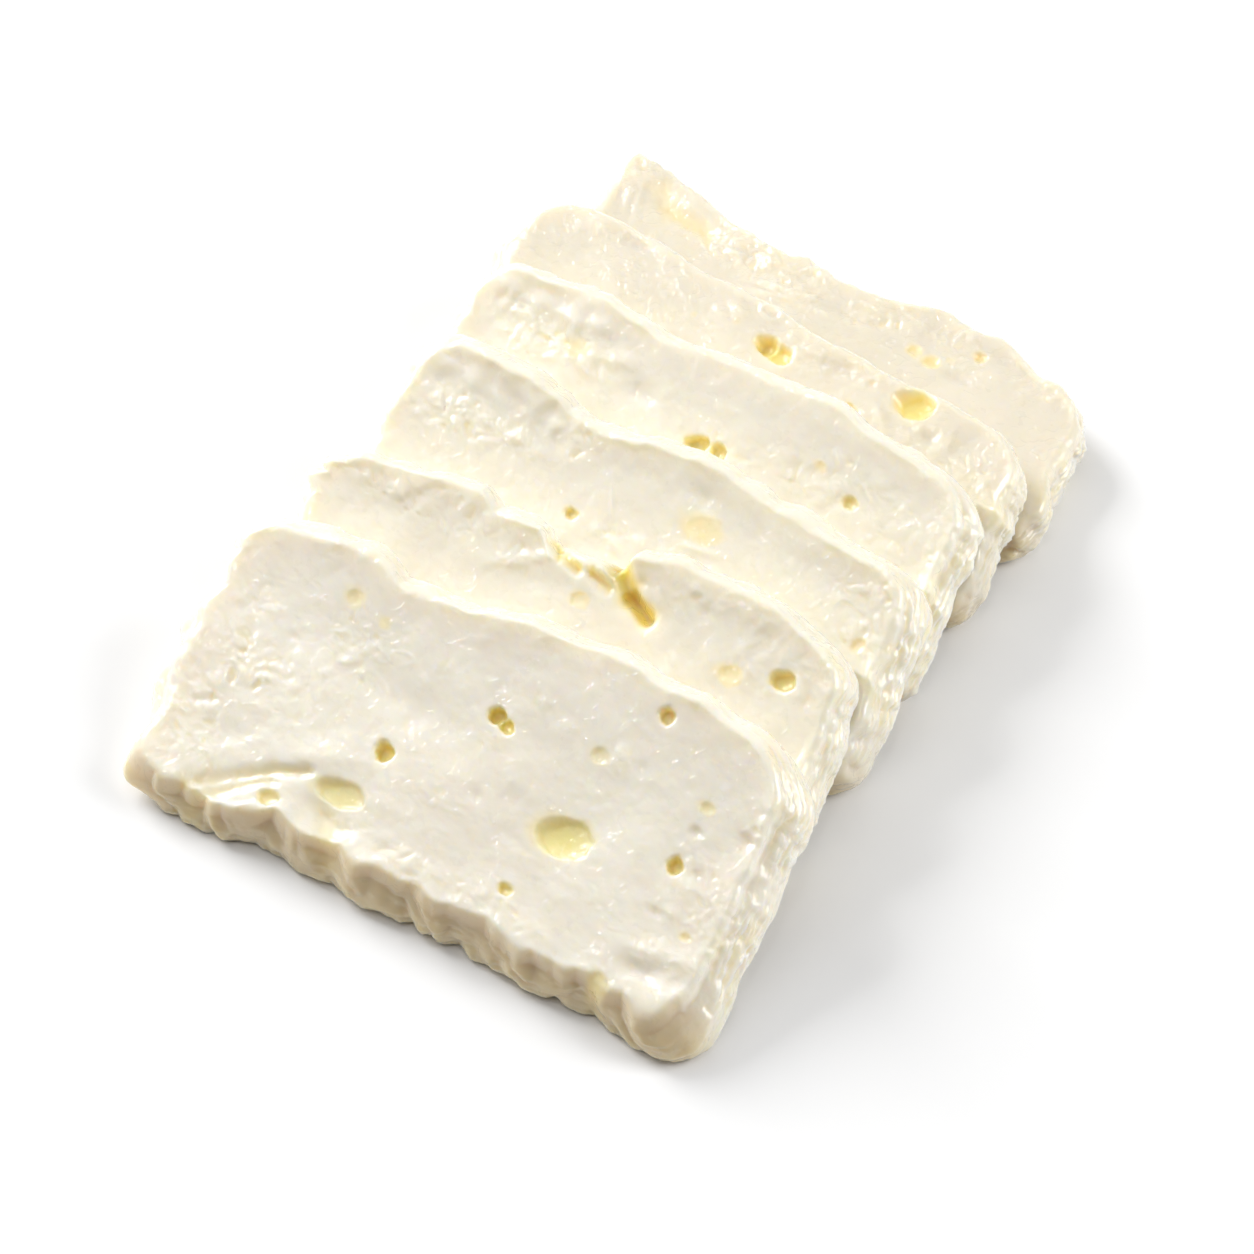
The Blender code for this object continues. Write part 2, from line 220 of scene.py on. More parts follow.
# The lights: name, the setting that holds their power, size, azimuth and elevation
LIGHT_DISTANCE = 1.2
LIGHTS = (
    ("right_light", "right_power", 0.7, 123, 32),
    ("left_light", "left_power", 0.7, 258, 32),
    ("top_light", "top_power", 1.6, 303, 62),
    ("left_glint", "glint_power", 0.1, 262, 48),
    ("right_glint", "glint_power", 0.1, 35, 76),
)

# The floor, and how near and how far the camera sees
FLOOR_REACH = 3.0
FLOOR_ROUGHNESS = 0.9
CLIP_START, CLIP_END = 0.05, 20


class Slice:
    """Sizes of one slice and the marks on its cut face, in millimetres and degrees."""

    def __init__(self, name, length, depth, thick, shift, covered, flare, far, eyes,
                 creases=(), near=((0, 0),), front_slope=0, lumps=(), steps=(), rings=(),
                 curds=(), far_calm=FAR_CALM):
        self.name = name
        self.length = length * MM
        self.depth = depth * MM
        self.thick = thick * MM
        self.shift = shift * MM
        self.covered = covered * MM
        self.flare = flare * MM
        self.front_slope = math.tan(math.radians(front_slope))
        self.near = np.array(near) * MM
        self.far = np.array(far) * MM
        self.eyes = eyes
        self.creases = creases
        self.lumps = lumps
        self.steps = steps
        self.rings = rings
        self.curds = curds
        self.far_calm = far_calm


# shift: how far its middle lies to the right of the whole's middle line
# covered: how far back from its front edge it lies under the slice in front of it
# flare: how much further its right end reaches below than above
# front_slope: how far its front side leans back, from a right angle to its faces
# near and far: where its front and far edges lie along it, as pairs of x and u
# eyes: x, u, long radius, short radius, turn, depth
# creases: x and u of both ends, half width, depth
# lumps: x, u, long radius, short radius, turn, height, which is negative for a hollow
# steps: x and u of both ends, width, height by which the front side lies lower, reach
# rings: x, u, long radius, short radius, turn, height of its thin edge
# curds: x, u, radius along x, radius along u, strength
# far_calm: how much smaller the beads along its far side are
SLICES = (
    Slice(
        "slice_1", length=119, depth=57, thick=11.5, shift=-6.5, covered=-30, flare=4.4,
        front_slope=27,
        near=((-60, -9.5), (-54, -8.8), (-48, -7.8), (-37, -7.2), (-30, -4.6), (-8, -4.6),
              (6, -3.6), (35, -4.2), (41, -3.2), (50, -4.4), (60, -3)),
        far=((-58, 53), (-48, 54.5), (-34, 56.5), (-26, 53.5), (-10, 55.5), (0, 58.5),
             (21, 59.5), (38, 59.5), (47, 58), (58, 55)),
        eyes=((2.0, 38.7, 2.4, 2.2, 0, 4.6), (4.3, 37.5, 2.0, 1.8, 0, 4.2),
              (-15.2, 22.3, 2.4, 2.3, 0, 4.2), (23.0, 23.5, 7.0, 4.7, 15, 3.2),
              (32.7, 53.0, 1.9, 1.8, 0, 3.2), (23.7, 40.8, 2.6, 2.2, 0, 1.4),
              (45.3, 28.1, 2.0, 2.2, 0, 3.6), (17.5, 6.8, 2.0, 1.9, 0, 3.0),
              (-33.5, 46.5, 2.8, 2.2, 0, 1.6), (-25.8, 44.8, 1.7, 1.5, 0, 1.4),
              (-20.4, 8.5, 6.4, 3.9, 10, 2.6), (-32.3, -0.6, 2.8, 2.0, 20, 2.4),
              (46.5, 41.1, 2.0, 1.6, 0, 1.6), (52.7, 16.3, 1.7, 1.6, 0, 1.5),
              (41.0, -2.6, 2.6, 2.4, 0, 1.8)),
        creases=((-48, -5.6, -39.4, 0.5, 1.4, 0.7), (-39.4, 0.5, -33, 5.8, 1.4, 0.9),
                 (-33, 5.8, -27, 9.5, 1.2, 0.8), (-46, -8, -33, 3.4, 1.3, 0.7),
                 (-20, 2, -17, -4, 3.0, 0.7)),
        lumps=((-14.8, 32.6, 11, 4, 0, -0.5), (-25, 14.5, 8, 3.4, 33, 0.6),
               (-17.5, 2, 7, 4, 10, -0.7), (-6.6, 1, 1.8, 1.5, 0, -0.4),
               (-24.3, 22.7, 3, 1.8, 20, -0.2), (4.8, 22.8, 1.9, 1.4, 0, -0.4),
               (10.8, 25.3, 3.2, 1.8, 20, -0.2), (14.3, 18.2, 3, 2, 0, -0.3),
               (32.3, 42.3, 2.0, 1.6, 0, -0.25), (29.3, 37.2, 3.5, 2, 10, -0.2),
               (27.6, 43.2, 1.4, 1.2, 0, 0.3), (46.8, 35.8, 1.2, 1.0, 0, -0.5),
               (56.5, 38.8, 2.0, 1.6, 0, -0.7), (50.5, 28.6, 2.6, 2, 0, -0.3),
               (46.1, 18.5, 1.6, 1.2, 0, -0.4), (51.3, 9.5, 7, 2.6, 15, 0.8),
               (47.1, 4, 4, 2.4, 10, -0.8), (54.6, 0.2, 5, 4, 0, 0.8),
               (-41.3, 33.8, 1.1, 0.9, 0, -0.3), (-46, 8, 6, 2.5, 40, -0.4)),
        rings=((-20.2, 39.8, 2.7, 1.3, 20, 0.13), (-22.6, 38.6, 1.8, 1.0, 30, 0.1)),
        curds=((-48, 25, 7, 6, 1), (-36, 26, 9, 6, 0.5), (-50, 38, 5, 7, 0.5),
               (-52, 10, 5, 8, 1), (-50, -3, 6, 5, 0.8), (-29, 40, 6, 3.5, 0.8),
               (-31, 35.5, 4, 2, 0.9), (-24, 33, 4, 2, 0.7), (-38, 17, 8, 3, 0.4),
               (-16, 3, 6, 3, 0.7), (-2, 0, 8, 4, 0.7), (3, 33.5, 2.5, 1.5, 0.8),
               (9, 44.5, 3, 2, 0.5), (20, 0, 14, 3, 0.7), (29, 41, 3, 3, 0.6),
               (52, 24, 6, 9, 0.7), (50, 10, 8, 6, 0.6), (46, -1, 9, 3, 0.5),
               (57, 42, 2.5, 8, 0.7), (-5, 18, 8, 4, 0.35)),
    ),
    Slice(
        "slice_2", length=115, depth=46, thick=12.8, shift=-4.7, covered=14, flare=1.6,
        far=((-58, 38), (-50, 40), (-42, 42), (-24, 44), (-20, 41.5), (-10, 43.5), (-6, 39.5),
             (7, 40.5), (10, 46), (20, 49), (39, 49), (50, 46.5), (58, 45.5)),
        eyes=((45.4, 36.5, 3.2, 2.2, 20, 3.6), (35.0, 33.0, 3.4, 2.4, 10, 1.8),
              (56.0, 18.0, 1.6, 2.4, 20, 1.6), (2.0, 33.0, 2.6, 1.8, 0, 1.4)),
        creases=((8, 41.5, 11.5, 38.0, 2.0, 3.0), (11.5, 38.0, 16, 35.5, 1.7, 5.0),
                 (-7, 40.5, -4.5, 38.5, 0.9, 1.8), (-3.5, 39, 0, 38, 1.0, 1.6),
                 (3, 38.5, 7, 37.5, 1.2, 1.5)),
        lumps=((-31, 27, 15, 5, 0, -0.6), (-47, 35.6, 2.6, 1.8, 0, 0.5),
               (-40, 35.4, 2.4, 1.6, 10, 0.4), (-32.5, 36.4, 2.8, 1.7, 20, 0.5),
               (-26, 37.8, 2.4, 1.8, 20, 0.4), (-12, 34, 6, 1.2, 25, 0.4), (-7, 37.5, 5, 1, 25, 0.4),
               (0, 41.5, 3, 2, 0, 0.6), (4, 41, 2.5, 1.5, 30, 0.5),
               (26.6, 41.5, 1.7, 1.2, 0, -0.35), (39, 42.1, 2.4, 1.2, 0, -0.4)),
        steps=((-52, 37.2, -37, 37.2, 5, 0.6, 8), (-38, 37.2, -20, 41, 5, 0.6, 8)),
        rings=((40.5, 34.6, 2.0, 1.6, 0, 0.1),),
        curds=((18, 43, 5, 4, 0.7), (26, 42, 6, 4, 0.5), (33, 44, 6, 4, 0.5),
               (40, 42, 6, 4, 0.5), (46, 43, 6, 4, 0.5), (40, 35, 4, 3, 0.5),
               (52, 40, 5, 6, 0.7), (-42, 36, 7, 4, 0.7),
               (-30, 37, 6, 4, 0.5), (-22, 38, 4, 3, 0.5), (-9, 35, 7, 4, 0.6)),
    ),
    Slice(
        "slice_3", length=112, depth=46, thick=12.2, shift=-1.5, covered=14, flare=3.4,
        far=((-56, 47), (-32, 47), (-25, 46), (-22, 44), (-13, 43.5), (-2, 46), (13, 47),
             (31, 44.5), (48, 43), (56, 44)),
        eyes=((-13.7, 25.6, 1.9, 1.6, 0, 3.0), (11.6, 34.0, 5.6, 3.4, 0, 1.6),
              (50.0, 27.0, 2.2, 1.6, 60, 1.4)),
        lumps=((10.7, 39.7, 3.6, 2.6, 0, -0.8), (13.8, 30.0, 4.5, 0.8, 8, 0.45),
               (-6.3, 30.2, 4, 0.35, 113, 0.25), (-7.5, 24.6, 1.5, 1.2, 0, 0.4),
               (-2, 23.6, 1.6, 1.2, 0, 0.4),
               (1.8, 26.3, 1.5, 1.2, 0, 0.4), (-50, 41, 3, 2, 0, 0.7),
               (-43, 40.2, 2.6, 1.9, 10, 0.5), (-36.5, 39.6, 2.8, 1.8, -10, 0.6),
               (-29.5, 39, 2.4, 1.8, 0, 0.5), (-23.5, 39.5, 2.2, 1.6, 20, 0.5)),
        steps=((-54, 43.5, -36, 42.4, 6, 0.9, 9), (-37, 42.4, -22, 41.6, 6, 0.8, 9),
               (-23, 41.6, -14, 42, 5, 0.5, 7)),
        curds=((-45, 34, 9, 5, 1), (-30, 34.5, 8, 4, 1), (-18, 37, 6, 4, 0.9),
               (-6, 26, 6, 2.5, 0.8), (34, 40, 8, 3, 0.3), (50, 36, 6, 8, 0.8)),
    ),
    Slice(
        "slice_4", length=113, depth=48, thick=10.4, shift=-0.8, covered=14, flare=2.6,
        far=((-56, 47), (-46, 48.5), (-28, 49), (-14, 47.5), (-2, 49), (25, 48.5), (36, 47.5),
             (45, 46), (56, 46)),
        eyes=((-0.1, 30.4, 3.0, 2.2, 20, 4.2), (4.7, 30.8, 2.4, 2.0, 0, 3.4),
              (33.3, 32.8, 2.0, 1.8, 0, 2.6), (25.3, 36.7, 1.5, 1.3, 0, 1.4),
              (-31.0, 37.4, 3.0, 2.2, 0, 1.2), (46.8, 24.8, 2.4, 1.2, -25, 2.2),
              (1.7, 33.4, 0.7, 0.6, 0, 0.7), (4.2, 33.8, 0.6, 0.5, 0, 0.5)),
        lumps=((-15, 34.6, 3.4, 2.4, 0, -0.9), (-22, 38, 4, 1.5, 20, 0.5),
               (-49, 43, 2.8, 2, 0, 0.6), (-41.5, 42.2, 2.5, 1.8, 15, 0.5),
               (-34.5, 41.8, 2.8, 1.6, 0, 0.5), (-28, 42.3, 2.4, 1.8, 0, 0.5)),
        steps=((-52, 45.6, -36, 44.4, 6, 0.8, 9), (-37, 44.4, -19, 44.8, 6, 0.7, 8)),
        curds=((-46, 39, 7, 4, 1), (-36, 38.5, 6, 4, 1), (-26, 36, 6, 4, 1),
               (-38, 35, 6, 3, 0.9), (12, 33.5, 10, 3, 0.5), (22, 33, 8, 4, 0.6),
               (32, 36, 8, 5, 0.5), (44, 31, 7, 5, 0.5), (53, 35, 3, 8, 0.6)),
    ),
    Slice(
        "slice_5", length=116, depth=43, thick=11.4, shift=1.3, covered=14, flare=0.4,
        far=((-58, 44), (-44, 45.5), (-37, 46), (-22, 43.5), (-2, 42.5), (9, 39.5), (27, 40),
             (42, 38.5), (58, 36)),
        eyes=((-0.8, 33.4, 2.6, 2.3, 0, 4.8), (2.2, 32.7, 3.2, 2.2, 0, 3.8),
              (31.8, 35.0, 4.6, 3.2, 20, 3.8), (21.0, 28.9, 2.4, 1.2, -25, 2.2),
              (-17.2, 32.7, 0.9, 0.7, 0, 0.7), (-8.7, 34.8, 0.8, 0.7, 0, 0.6)),
        lumps=((36, 31, 3, 1, 40, 0.3), (27, 30, 3, 1, -40, 0.3), (45.2, 30.2, 4, 2.5, 0, -0.25),
               (37.5, 30.4, 2.4, 1.6, 0, -0.7), (-44, 41.5, 5, 2.5, 10, 0.6),
               (-34, 41.5, 3, 1.5, 0, -0.5), (10, 36.5, 3, 1.6, 0, 0.5),
               (16.5, 35.6, 3, 1.4, 0, -0.5), (41, 33, 1.2, 3.5, -30, 0.15)),
        rings=((-3, 40, 2.2, 1.4, 0, 0.3),),
        curds=((-41, 40, 4, 3, 0.8), (-50, 38, 3, 5, 0.5), (7, 38, 6, 4, 0.8),
               (-8, 37, 4, 3, 0.7), (19, 36, 10, 4.5, 0.9), (31, 39, 6, 4, 0.6),
               (40, 30, 7, 4, 0.6), (50, 27, 6, 6, 0.8)),
    ),
    Slice(
        "slice_6", length=115, depth=43, thick=13.0, shift=5.0, covered=12, flare=0.2,
        far_calm=0,
        far=((-58, 51), (-50, 50), (-40, 47.0), (-26, 43), (-12, 40.5), (4, 41.5), (17, 44),
             (36, 43.5), (45, 40), (58, 38.5)),
        eyes=((22.6, 30.9, 2.6, 2.0, 15, 2.0), (31.3, 37.0, 1.8, 1.5, 0, 1.9),
              (18.5, 31.8, 2.2, 1.8, 0, 1.7)),
        creases=((-46, 42, -43, 38.5, 2.4, 0.6), (-43, 38.5, -33, 37, 2.2, 0.9)),
        lumps=((-50, 43, 6, 3.2, -10, 0.8), (29.6, 30, 3, 1.3, 0, -0.6),
               (-9, 32.2, 9, 0.8, 8, 0.4), (-14, 29.4, 8, 0.8, 10, 0.35),
               (-38, 42, 5, 2.5, -20, 0.4), (-52, 38, 1.0, 4, 15, 0.5), (-49.5, 37, 0.8, 4, 15, 0.4),
               (-26, 38.5, 2.5, 1.6, 0, 0.4), (-22, 36.5, 2.2, 1.4, 0, -0.35),
               (-17, 36.8, 3, 1.5, 0, 0.5), (2, 33.5, 6, 1.4, 0, -0.5), (8, 37, 3.5, 1.8, 0, 0.5),
               (17, 38, 3, 2, 0, 0.5), (36, 34.5, 3, 2, 0, 0.5), (42, 38, 3, 2, 0, -0.5)),
        curds=((-29, 35, 7, 4, 1), (-20, 36, 6, 5, 1), (-10, 35, 9, 5, 1), (-8, 31, 9, 2.5, 0.7),
               (10, 36, 9, 5, 0.9), (27, 36, 7, 5, 0.9), (45, 36, 8, 3, 0.6),
               (-54, 44, 4, 6, 0.7)),
    ),
)


def smooth(t):
    """Ease from 0 to 1."""
    t = np.clip(t, 0.0, 1.0)
    return t * t * (3.0 - 2.0 * t)


def corner_value(ix, iy, iz, seed):
    """A repeatable value from -1 to 1 for each lattice corner."""
    n = ix * 73856093 ^ iy * 19349663 ^ iz * 83492791 ^ seed * 40503
    for shift, factor in ((13, 1274126177), (16, 668265263), (15, 374761393)):
        n = (n & 0xFFFFFFFF) ^ ((n & 0xFFFFFFFF) >> shift)
        n = n * factor + 12345
    return (n & 0xFFFFFFFF) / 2147483648.0 - 1.0


def cell_corners(q):
    """The corners of the lattice cells round points, the way from each corner, and its weight."""
    cell = np.floor(q).astype(np.int64)
    f = q - cell
    ease = f * f * f * (f * (f * 6 - 15) + 10)
    for corner in range(8):
        bits = np.array((corner & 1, corner >> 1 & 1, corner >> 2 & 1))
        yield (cell + bits).T, (f - bits).T, np.where(bits == 1, ease, 1 - ease).prod(axis=1)


def noise(points, size, seed):
    """Smooth lattice noise from -1 to 1, with lumps of the given size."""
    total = np.zeros(len(points))
    for corner, _, weight in cell_corners(points / size + NOISE_STEP * seed):
        total += weight * corner_value(*corner, seed)
    return total


def grain(points, size, seed):
    """Smooth gradient noise from about -1 to 1, whose lumps have no square look."""
    total = np.zeros(len(points))
    for corner, away, weight in cell_corners(points / size + GRAIN_STEP * seed + GRAIN_OFF):
        slope = [corner_value(*corner, seed + GRAIN_SEED * axis) for axis in (1, 2, 3)]
        total += weight * (away * slope).sum(axis=0)
    return GRAIN_GAIN * total


def bent_line(foot, angles, bend):
    """A line in the YZ plane that stands on the surface at foot and turns between two angles.

    The result holds run, angle, Y and Z of its points, with the run measured from the foot.
    """
    run = np.arange(-LINE_REACH, LINE_REACH, LINE_STEP)
    angle = angles[0] + (angles[1] - angles[0]) * smooth((run - bend[0]) / (bend[1] - bend[0]))
    y = np.cumsum(np.cos(angle)) * LINE_STEP
    z = np.cumsum(np.sin(angle)) * LINE_STEP
    y += foot - np.interp(0.0, run, y)
    z -= SINK + np.interp(0.0, run, z)
    return run, angle, y, z


def off_line(line, along, height):
    """Y and Z of points at a height off a bent line."""
    run, angle, line_y, line_z = line
    a = np.interp(along, run, angle)
    y = np.interp(along, run, line_y) - height * np.sin(a)
    z = np.interp(along, run, line_z) + height * np.cos(a)
    return y, z


def resting_line():
    """The line that slice 5 rests on."""
    return bent_line(FIFTH_FOOT, (LEAN, LEVEL), (BEND_START, BEND_END))


def lay_front(u, h):
    """Y and Z of points of the front slice."""
    return off_line(bent_line(0.0, (FRONT_LEAN, LEAN), (SAG_START, SAG_END)), u, h)


def lay_leaning(index, u, h):
    """Y and Z of points of a leaning slice, which keeps its distance from the resting line."""
    line = resting_line()
    run, angle = line[:2]
    below = sum(s.thick + GAP for s in SLICES[index + 1:-1]) + GAP
    bend = -np.gradient(angle, LINE_STEP)
    middle = below + SLICES[index].thick / 2
    length = np.cumsum(1 + bend * middle) * LINE_STEP
    length -= np.interp(-below / math.tan(LEAN), run, length)
    return off_line(line, np.interp(u, length, run), below + h)


def lay_back(u, h, thick):
    """Y and Z of points of the back slice: flat below, and under the resting line above."""
    line_y, line_z = resting_line()[2:]
    y = BACK_FRONT + u
    return y, h / thick * np.interp(y, line_y, line_z)


def lay(index, u, h):
    """Y and Z of points of a slice from u and h."""
    if index == 0:
        return lay_front(u, h)
    if index == len(SLICES) - 1:
        return lay_back(u, h, SLICES[index].thick)
    return lay_leaning(index, u, h)


def round_plan(cube, half):
    """Plan of the slice: the grid of a square turned into rings of round-cornered rectangles."""
    flat = cube[:, :2] * half
    ring = np.abs(cube[:, :2]).max(axis=1)[:, None]
    corner = PLAN_CORNER * ring
    inner = np.clip(flat, corner - half * ring, half * ring - corner)
    away = flat - inner
    size = np.maximum(np.linalg.norm(away, axis=1)[:, None], 1e-9)
    return inner + corner * np.clip(away / size, -1, 1) * (size > 2e-9)


def rim_distance(plan, half):
    """Distance in from the outline, and the outward direction in plan."""
    q = np.abs(plan) - (half - PLAN_CORNER)
    beyond = np.maximum(q, 0)
    reach = np.linalg.norm(beyond, axis=1)
    inset = np.maximum(PLAN_CORNER - reach - np.minimum(q.max(axis=1), 0), 0)
    axis = np.eye(2)[q.argmax(axis=1)]
    out = np.where(reach[:, None] > 1e-9, beyond / np.maximum(reach, 1e-9)[:, None], axis)
    return inset, out * np.sign(plan)


def turned(x, u, centre, radii, turn):
    """Places round the middle of an oval, in units of its radii."""
    c, n = math.cos(math.radians(turn)), math.sin(math.radians(turn))
    dx, du = x - centre[0] * MM, u - centre[1] * MM
    return (dx * c + du * n) / (radii[0] * MM), (du * c - dx * n) / (radii[1] * MM)


def eye_depth(x, u, eye, wobble):
    """Depth of one eye at points of the cut face, with a lip that is crisp towards LIP_WAY."""
    eye_x, eye_u, long_r, short_r, turn, deep = eye
    r = np.hypot(*turned(x, u, (eye_x, eye_u), (long_r, short_r), turn))
    r = r / EYE_SPREAD * (1 + wobble * min(1, EYE_SMALL / (short_r * MM)))
    away = np.stack([x - eye_x * MM, u - eye_u * MM], axis=1)
    towards = away @ LIP_WAY / np.maximum(np.linalg.norm(away, axis=1), 1e-9)
    lip = LIP_SOFT + (LIP_CRISP - LIP_SOFT) * (1 + towards) / 2
    bowl = np.sqrt(np.maximum(1 - np.minimum(r, 1) ** 2, 0))
    return EYE_DEEP * deep * MM * bowl * (1 - smooth((r - 1 + lip) / lip))


def crease_depth(x, u, crease, wobble):
    """Depth of one crease at points of the cut face."""
    start, end = np.array(crease[:2]) * MM, np.array(crease[2:4]) * MM
    width, deep = crease[4] * MM, crease[5] * MM
    line = end - start
    p = np.stack([x, u], axis=1) - start
    t = np.clip(p @ line / (line @ line), 0, 1)
    away = np.linalg.norm(p - t[:, None] * line, axis=1) * (1 + CREASE_WOBBLE * wobble)
    return deep * np.exp(-(away / width) ** 2)


def marks(s, place):
    """Depth of the eyes and of the creases at points of the cut face."""
    x, u = place[:, 0], place[:, 1]
    eyes, creases = np.zeros(len(x)), np.zeros(len(x))
    ragged = sum(size * grain(place, pitch, WOBBLE_SEED) for size, pitch in EYE_WOBBLES)
    for eye in s.eyes:
        eyes = np.maximum(eyes, eye_depth(x, u, eye, ragged))
    wobble = noise(place, WOBBLE_PITCH, WOBBLE_SEED)
    for crease in s.creases:
        creases = np.maximum(creases, crease_depth(x, u, crease, wobble))
    return eyes, creases


def edges(s, x, u):
    """How far the front and far edges of a slice move its points along u."""
    near = np.interp(x, s.near[:, 0], s.near[:, 1])
    far = np.interp(x, s.far[:, 0], s.far[:, 1]) - s.depth
    return near * smooth(1 - u / EDGE_REACH) + far * smooth(1 - (s.depth - u) / EDGE_REACH)


def crest(points, size, seed):
    """Thin winding crests from 0 to 1."""
    return np.maximum(1 - np.abs(grain(points, size, seed)), 0) ** STRATA_SHARPNESS


def strata(own, index):
    """Height of the thin layers that show along a side of the slice."""
    seed = STRATA_SEED + SEED_STEP * index
    tall = own * (1, 1, GROOVE_STRETCH)
    layered = own * STRATA_STRETCH
    layered[:, 2] += STRATA_BEND * noise(tall, STRATA_BEND_PITCH, seed)
    strength = smooth(STRATA_IN_PATCH + noise(tall, STRATA_PATCH, seed + 1))
    layers = crest(layered, STRATA_PITCH, seed + 2)
    layers = layers + crest(layered, STRATA_PITCH / 2, seed + 3) / 2
    return STRATA_DEPTH * strength * (layers - STRATA_MIDDLE)


def curd_mask(s, index, place, inset):
    """Where the cut face is rough with curds, from 0 to 1."""
    x, u = place[:, 0], place[:, 1]
    patch = noise(place, CURD_PATCH, PATCH_SEED + index)
    mask = smooth((CURD_RIM - inset) / CURD_RIM + CURD_RIM_RAGGED * patch)
    mask = np.maximum(CURD_ON_RIM * (mask * smooth(CURD_IN_PATCH + patch)), CURD_LEAST)
    for curd_x, curd_u, long_r, short_r, strength in s.curds:
        r = np.hypot(*turned(x, u, (curd_x, curd_u), (long_r, short_r), 0))
        mask = np.maximum(mask, strength * smooth(CURD_EDGE - r + CURD_EDGE_RAGGED * patch))
    return mask


def curds(place, index):
    """Height of the curd texture, from about -1 to 1: soft lumps with small pores."""
    seed = CURD_SEED + SEED_STEP * index
    amount, pitch = CURD_SWIRL
    swirl = np.stack([grain(place, pitch, seed + axis) for axis in range(3)], axis=1)
    bent = place @ CURD_TURN + amount * swirl
    total = np.full(len(place), -CURD_MIDDLE)
    for k, pitch in enumerate(CURD_PITCHES):
        lump = grain(bent, pitch, seed + 3 + k)
        total += CURD_GAIN * np.sqrt(lump ** 2 + CURD_CREASE ** 2) / (k + 1)
    pitch, least, spread, deep = CURD_PORE
    return total - deep * smooth((grain(bent, pitch, seed + 7) - least) / spread)


def lump_height(x, u, lump):
    """Height of one soft lump or hollow at points of the cut face."""
    lump_x, lump_u, long_r, short_r, turn, height = lump
    r = np.hypot(*turned(x, u, (lump_x, lump_u), (long_r, short_r), turn))
    return height * MM * np.exp(-r ** 2)


def step_drop(x, u, step, torn):
    """How far a torn step lowers the face on its front side."""
    start, end = np.array(step[:2]) * MM, np.array(step[2:4]) * MM
    width, height, reach = (size * MM for size in step[4:])
    line = end - start
    p = np.stack([x, u], axis=1) - start
    along = p @ line / (line @ line)
    front = p @ np.array((line[1], -line[0])) / np.linalg.norm(line) + torn
    past = np.maximum(np.abs(along - 0.5) - 0.5, 0) * np.linalg.norm(line)
    fade = np.exp(-(np.maximum(front, 0) / reach) ** 2 - (past / STEP_FADE) ** 2)
    return height * smooth(front / width + 0.5) * fade


def ring_height(x, u, ring, wobble):
    """Height of the thin edge of a dried puddle."""
    ring_x, ring_u, long_r, short_r, turn, height = ring
    r = np.hypot(*turned(x, u, (ring_x, ring_u), (long_r, short_r), turn))
    r = r * (1 + RING_WOBBLE * wobble)
    return height * MM * np.exp(-((r - 1) * short_r * MM / RING_WIDTH) ** 2)


def hand_relief(s, place, index):
    """Height of the lumps, steps and rings of one face."""
    x, u = place[:, 0], place[:, 1]
    height = np.zeros(len(x))
    for lump in s.lumps:
        height += lump_height(x, u, lump)
    if s.steps:
        torn = sum(size * noise(place, pitch, WOBBLE_SEED + index) for size, pitch in STEP_WOBBLE)
        height -= np.max([step_drop(x, u, step, torn) for step in s.steps], axis=0)
    for ring in s.rings:
        height += ring_height(x, u, ring, noise(place, WOBBLE_PITCH, WOBBLE_SEED + index))
    return height


def lobed(own, inset, lumps, seed):
    """Height of round lumps along the rim, with creases between them."""
    size, pitch, reach, cut = lumps
    return size * (np.abs(grain(own @ LOBE_SKEW, pitch, seed)) - cut) * np.exp(-inset / reach)


def side_swell(index, own, level, inset, out, wall):
    """How far the sides of a slice swell outwards, and the height of their thin layers."""
    seed = SCALLOP_SEED + SEED_STEP * index
    swell = SIDE_BULGE * (1 - level ** 2) * np.exp(-inset / SIDE_BULGE_REACH)
    for k, (size, pitch, reach) in enumerate(SCALLOPS):
        lump = noise(own * (1, 1, GROOVE_STRETCH), pitch, seed + k)
        swell += size * lump * np.exp(-inset / reach)

    foot = smooth((1 + level) / 2 / FOOT)
    front_and_left = np.maximum(smooth(-out[:, 1]), LOBES_LEFT * smooth(-out[:, 0]))
    swell += lobed(own, inset, LOBES, seed + 4) * front_and_left * foot
    calm = 1 - SLICES[index].far_calm * smooth(out[:, 1])
    end_calm = 1 - END_CALM * smooth(out[:, 0])
    swell += lobed(own, inset, BEADS, seed + 5) * foot * (calm * end_calm)

    size, pitch, reach = RIM_CURDS
    fine = size * grain(own * RIM_CURD_STRETCH, pitch, seed + 3) * np.exp(-inset / reach)
    share = STRATA_LEAST + (1 - STRATA_LEAST) * smooth(STRATA_END + out[:, 0])
    layers = strata(own, index) * share * wall
    return swell + (fine + layers) * (1 - level ** EDGE_POWER) * calm, layers


def face_relief(index, place, inset):
    """How deep the cut face and the marks on it are, and the strength and height of its curd."""
    s = SLICES[index]
    relief = FACE_DISH * smooth(inset / DISH_REACH)
    for k, (size, pitch) in enumerate(FACE_WAVES):
        relief += size * (1 + noise(place, pitch, WAVE_SEED + SEED_STEP * index + k)) / 2
    for k, (size, pitch) in enumerate(SKIN_WAVES):
        relief += size * grain(place, pitch, SKIN_SEED + SEED_STEP * index + k)
    size, middle, reach, pitch = LIP
    raised = smooth(LIP_SPREAD + LIP_SPREAD * noise(place, pitch, SKIN_SEED + index))
    relief -= size * raised * np.exp(-((inset - middle) / reach) ** 2)
    relief -= hand_relief(s, place, index)
    strength = curd_mask(s, index, place, inset)
    height = curds(place, index)
    relief -= CURD_DEPTH * strength * height
    eyes, creases = marks(s, place)
    relief = np.maximum(relief, eyes + WAVES_IN_MARKS * relief) + creases
    return relief, np.maximum(eyes, creases), strength, height


